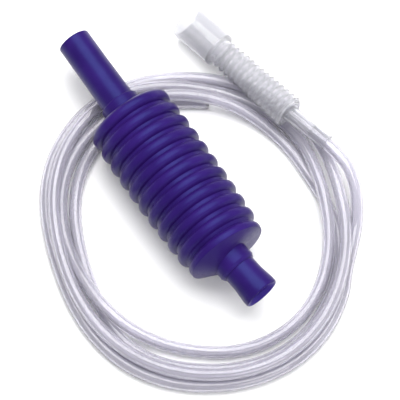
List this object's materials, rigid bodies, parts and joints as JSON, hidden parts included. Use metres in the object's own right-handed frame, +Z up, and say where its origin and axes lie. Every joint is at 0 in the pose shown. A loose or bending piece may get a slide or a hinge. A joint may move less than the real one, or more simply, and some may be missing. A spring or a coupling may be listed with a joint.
{
  "type": "siphon pump kit",
  "caption": "Bellows hand pump with ball check valves, lying over a coil of clear hose whose end carries a corrugated adaptor.",
  "frame": {"origin": "on the floor, under the middle of the bellows pump, halfway from the spigot's end to the nozzle's mouth", "axes": "+X along the pump from its inlet spigot to its outlet nozzle, +Z up, +Y towards the side of the hose coil where the adaptor lies"},
  "size_m": [0.301, 0.239, 0.0692],
  "materials": {
    "bellows": "satin blow-moulded polyethylene",
    "pump_tubes": "satin moulded plastic",
    "valve_parts": "plain moulded plastic",
    "valve_balls": "smooth plastic",
    "adaptor": "milky translucent plastic",
    "hose": "clear soft plastic"
  },
  "bodies": {
    "hose": {"corrugated_adaptor": "adaptor", "hose_lead": "hose", "hose_coil": "hose"},
    "pump": {"bellows": "bellows", "outlet_nozzle": "pump_tubes", "outlet_valve_seat": "valve_parts", "outlet_valve_cage": "valve_parts"},
    "inlet_end": {"inlet_spigot": "pump_tubes", "inlet_valve_seat": "valve_parts", "inlet_valve_cage": "valve_parts"},
    "inlet_ball": {"inlet_valve_ball": "valve_balls"},
    "outlet_ball": {"outlet_valve_ball": "valve_balls"}
  },
  "joints": [
    {"name": "pump_lift", "type": "slide", "parent": "hose", "child": "pump", "axis": [0, 0, 1], "range_m": [0, 0.12]},
    {"name": "bellows_squeeze", "type": "slide", "parent": "pump", "child": "inlet_end", "axis": [1, 0, 0], "range_m": [0, 0.05], "stiffness_N_per_m": 1100, "deforming": ["bellows"]},
    {"name": "inlet_ball_lift", "type": "slide", "parent": "inlet_end", "child": "inlet_ball", "axis": [1, 0, 0], "range_m": [0, 0.0035]},
    {"name": "outlet_ball_lift", "type": "slide", "parent": "pump", "child": "outlet_ball", "axis": [1, 0, 0], "range_m": [0, 0.0035]}
  ]
}
